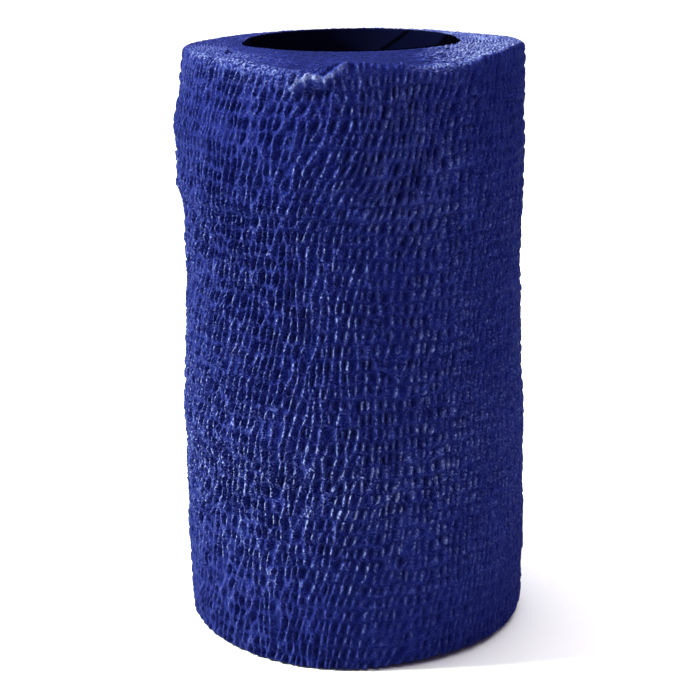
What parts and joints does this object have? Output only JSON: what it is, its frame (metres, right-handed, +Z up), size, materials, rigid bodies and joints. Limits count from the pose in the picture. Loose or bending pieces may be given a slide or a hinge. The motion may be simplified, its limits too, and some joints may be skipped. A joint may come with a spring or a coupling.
{
  "type": "cohesive bandage roll",
  "caption": "Upright roll of crinkled self-clinging bandage, wound tight on an open dark paper tube.",
  "frame": {"origin": "middle of the base, on the roll's axis, where it stands on its end", "axes": "+Z up along the roll's axis, the front faces -Y, and the free end of the outer turn is at the back, +Y"},
  "size_m": [0.0589, 0.0591, 0.1],
  "materials": {
    "bandage": "matte",
    "core": "matte"
  },
  "bodies": {
    "root": {"wound_bandage": "bandage", "core_tube": "core"}
  },
  "joints": []
}
